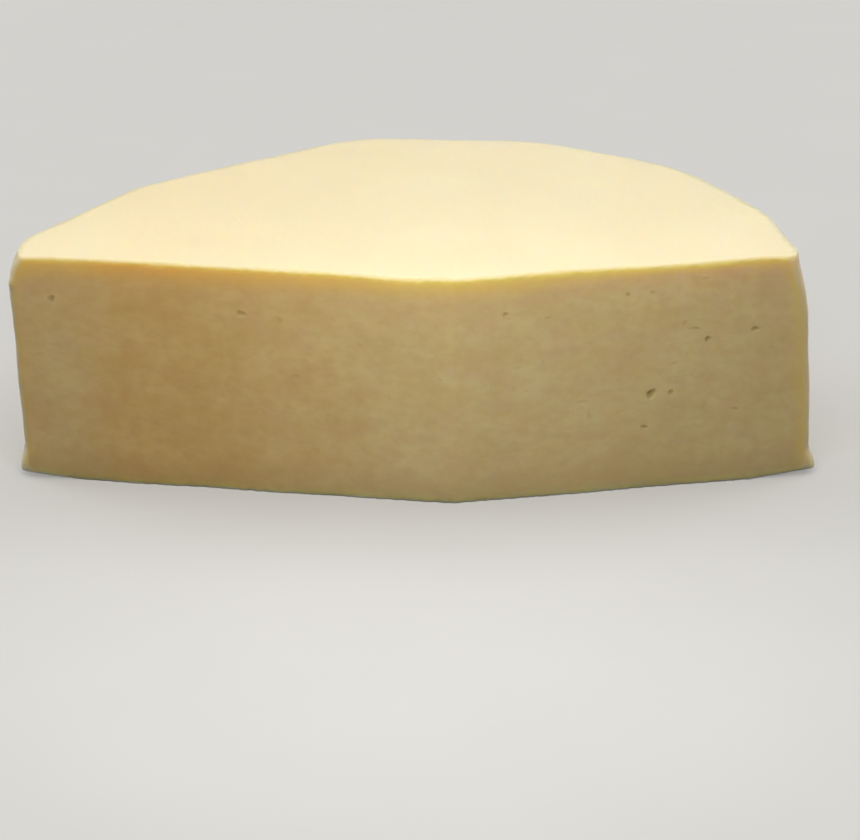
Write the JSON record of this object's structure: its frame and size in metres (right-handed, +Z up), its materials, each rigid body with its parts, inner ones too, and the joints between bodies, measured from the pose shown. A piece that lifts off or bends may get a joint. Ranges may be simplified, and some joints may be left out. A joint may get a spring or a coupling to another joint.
{
  "type": "cut cheese wheel",
  "caption": "Round, flat semi-cured cheese with a wedge cut away, leaving two upright cut faces that meet at a blunt edge; it rests on its flat underside.",
  "frame": {"origin": "bottom centre of the piece's box, on the surface it stands on", "axes": "+Z up; +X along the wide side, to the right of someone facing the two cut faces; +Y away from them, towards the round wall"},
  "size_m": [0.1732, 0.1054, 0.05],
  "materials": {
    "cheese": "pale cream pressed rind with matte cut paste"
  },
  "bodies": {
    "root": {"cheese_wheel": "cheese"}
  },
  "joints": []
}
